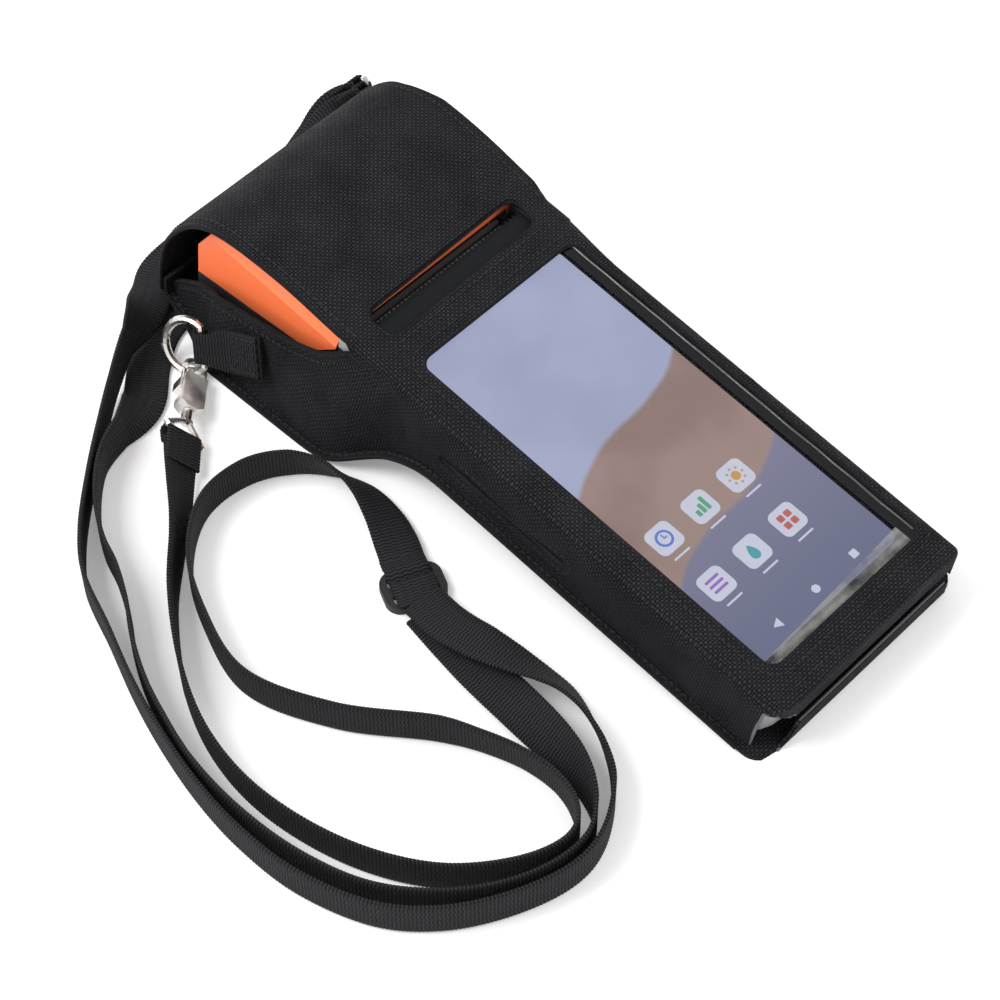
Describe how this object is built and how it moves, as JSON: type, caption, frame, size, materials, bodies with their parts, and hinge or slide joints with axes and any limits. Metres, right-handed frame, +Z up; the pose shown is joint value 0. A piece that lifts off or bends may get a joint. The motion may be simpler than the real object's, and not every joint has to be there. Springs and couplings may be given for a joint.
{
  "type": "handheld payment terminal",
  "caption": "Handheld payment terminal with a receipt printer, in a black fabric carrying case with a clear window, a flap, side rings and a webbing neck strap on snap hooks.",
  "frame": {"origin": "middle of the footprint of the cased terminal on the surface that it lies on, without the strap", "axes": "+X towards the right-hand side of the screen, +Y from the foot of the screen towards the printer, +Z up"},
  "size_m": [0.2483, 0.2985, 0.0605],
  "materials": {
    "fabric": "black coarse woven polyester",
    "webbing": "black ribbed webbing",
    "film": "clear flexible film",
    "hook_tape": "black hook-and-loop tape",
    "shell": "light grey, fine texture",
    "lid": "orange, satin",
    "dark_plastic": "dark grey, moulded",
    "glass": "polished, black border",
    "screen": "display panel, lit",
    "nickel": "nickel plated zinc",
    "steel": "plain steel",
    "rubber": "matt platen rubber",
    "white_plastic": "natural acetal",
    "paper": "thermal paper",
    "circuit": "green solder mask",
    "cell": "wrapped cell"
  },
  "bodies": {
    "terminal": {"front_frame": "shell", "display_glass": "glass", "display_panel": "screen", "rear_shell": "shell", "lid_hinge_pin": "steel", "feed_motor": "steel", "idler_pin": "steel", "printer_chassis": "dark_plastic", "thermal_head": "steel", "head_bracket": "dark_plastic", "tear_deck": "dark_plastic", "main_board": "circuit", "battery_pack": "cell", "speaker": "dark_plastic", "camera_module": "dark_plastic", "camera_lens": "glass", "usb_socket": "steel", "key_switch_strip": "circuit", "shell_screw_1": "steel", "shell_screw_2": "steel", "shell_screw_3": "steel", "shell_screw_4": "steel", "case_front_panel": "fabric", "case_side_left": "fabric", "case_side_right": "fabric", "case_back_panel": "fabric", "clear_window": "film", "loop_patch": "hook_tape", "ring_tab_left": "webbing", "ring_tab_right": "webbing", "hook_eye_left": "nickel", "hook_eye_right": "nickel", "strap_single": "webbing", "strap_loop_upper": "webbing", "strap_loop_lower": "webbing", "strap_slider": "dark_plastic"},
    "flap": {"case_flap": "fabric", "hook_patch": "hook_tape"},
    "lid": {"printer_lid": "lid"},
    "platen": {"platen_shaft": "steel", "platen_rubber": "rubber", "platen_gear": "white_plastic"},
    "idler": {"idler_gear": "white_plastic"},
    "rotor": {"motor_pinion": "steel"},
    "roll": {"paper_roll": "paper", "paper_core": "white_plastic"},
    "key_up": {"key_volume_up": "dark_plastic"},
    "key_down": {"key_volume_down": "dark_plastic"},
    "key_power": {"key_power": "dark_plastic"},
    "ring_left": {"d_ring_left": "nickel"},
    "ring_right": {"d_ring_right": "nickel"},
    "hook_left": {"hook_body_left": "nickel"},
    "hook_right": {"hook_body_right": "nickel"},
    "bolt_left": {"hook_bolt_left": "nickel"},
    "bolt_right": {"hook_bolt_right": "nickel"}
  },
  "joints": [
    {"name": "flap_hinge", "type": "hinge", "parent": "terminal", "child": "flap", "pos_m": [0, 0.04169, 0.0501], "axis": [1, 0, 0], "range_deg": [0, 160]},
    {"name": "lid_hinge", "type": "hinge", "parent": "terminal", "child": "lid", "pos_m": [-0.0015, 0.12634, 0.02054], "axis": [-1, 0, 0], "range_deg": [0, 51.2]},
    {"name": "motor_spin", "type": "hinge", "parent": "terminal", "child": "rotor", "pos_m": [0.0327, 0.04922, 0.01703], "axis": [1, 0, 0], "continuous": true},
    {"name": "idler_spin", "type": "hinge", "parent": "terminal", "child": "idler", "pos_m": [0.0327, 0.0561, 0.02483], "axis": [1, 0, 0], "continuous": true},
    {"name": "platen_spin", "type": "hinge", "parent": "lid", "child": "platen", "pos_m": [-0.0015, 0.05689, 0.03821], "axis": [1, 0, 0], "continuous": true},
    {"name": "roll_spin", "type": "hinge", "parent": "terminal", "child": "roll", "pos_m": [-0.0015, 0.09089, 0.02912], "axis": [1, 0, 0], "continuous": true},
    {"name": "key_up_press", "type": "slide", "parent": "terminal", "child": "key_up", "axis": [1, 0, 0], "range_m": [0, 0.0005], "stiffness_N_per_m": 400},
    {"name": "key_down_press", "type": "slide", "parent": "terminal", "child": "key_down", "axis": [1, 0, 0], "range_m": [0, 0.0005], "stiffness_N_per_m": 400},
    {"name": "key_power_press", "type": "slide", "parent": "terminal", "child": "key_power", "axis": [1, 0, 0], "range_m": [0, 0.0005], "stiffness_N_per_m": 400},
    {"name": "ring_left_swing", "type": "hinge", "parent": "terminal", "child": "ring_left", "pos_m": [-0.06, 0.10185, 0.01202], "axis": [-0.3597, -0.4172, -0.8346], "range_deg": [-3, 3]},
    {"name": "ring_right_swing", "type": "hinge", "parent": "terminal", "child": "ring_right", "pos_m": [0.06, 0.10185, 0.01202], "axis": [0.3597, -0.4172, -0.8346], "range_deg": [-3, 3]},
    {"name": "hook_left_swivel", "type": "hinge", "parent": "terminal", "child": "hook_left", "pos_m": [-0.06464, 0.10179, 0.00385], "axis": [-0.7302, -0.6661, 0.1518], "range_deg": [-10, 10]},
    {"name": "hook_right_swivel", "type": "hinge", "parent": "terminal", "child": "hook_right", "pos_m": [0.06323, 0.11623, 0.01191], "axis": [0.0081, 0.9971, -0.0757], "range_deg": [-10, 10]},
    {"name": "bolt_left_slide", "type": "slide", "parent": "hook_left", "child": "bolt_left", "axis": [-0.7302, -0.6661, 0.1518], "range_m": [0, 0.0024], "stiffness_N_per_m": 250},
    {"name": "bolt_right_slide", "type": "slide", "parent": "hook_right", "child": "bolt_right", "axis": [0.0081, 0.9971, -0.0757], "range_m": [0, 0.0024], "stiffness_N_per_m": 250}
  ],
  "couplings": [
    {"joint": "lid_hinge", "follows": "flap_hinge", "ratio": 0.32},
    {"joint": "idler_spin", "follows": "platen_spin", "ratio": -0.83333},
    {"joint": "motor_spin", "follows": "platen_spin", "ratio": 2}
  ]
}
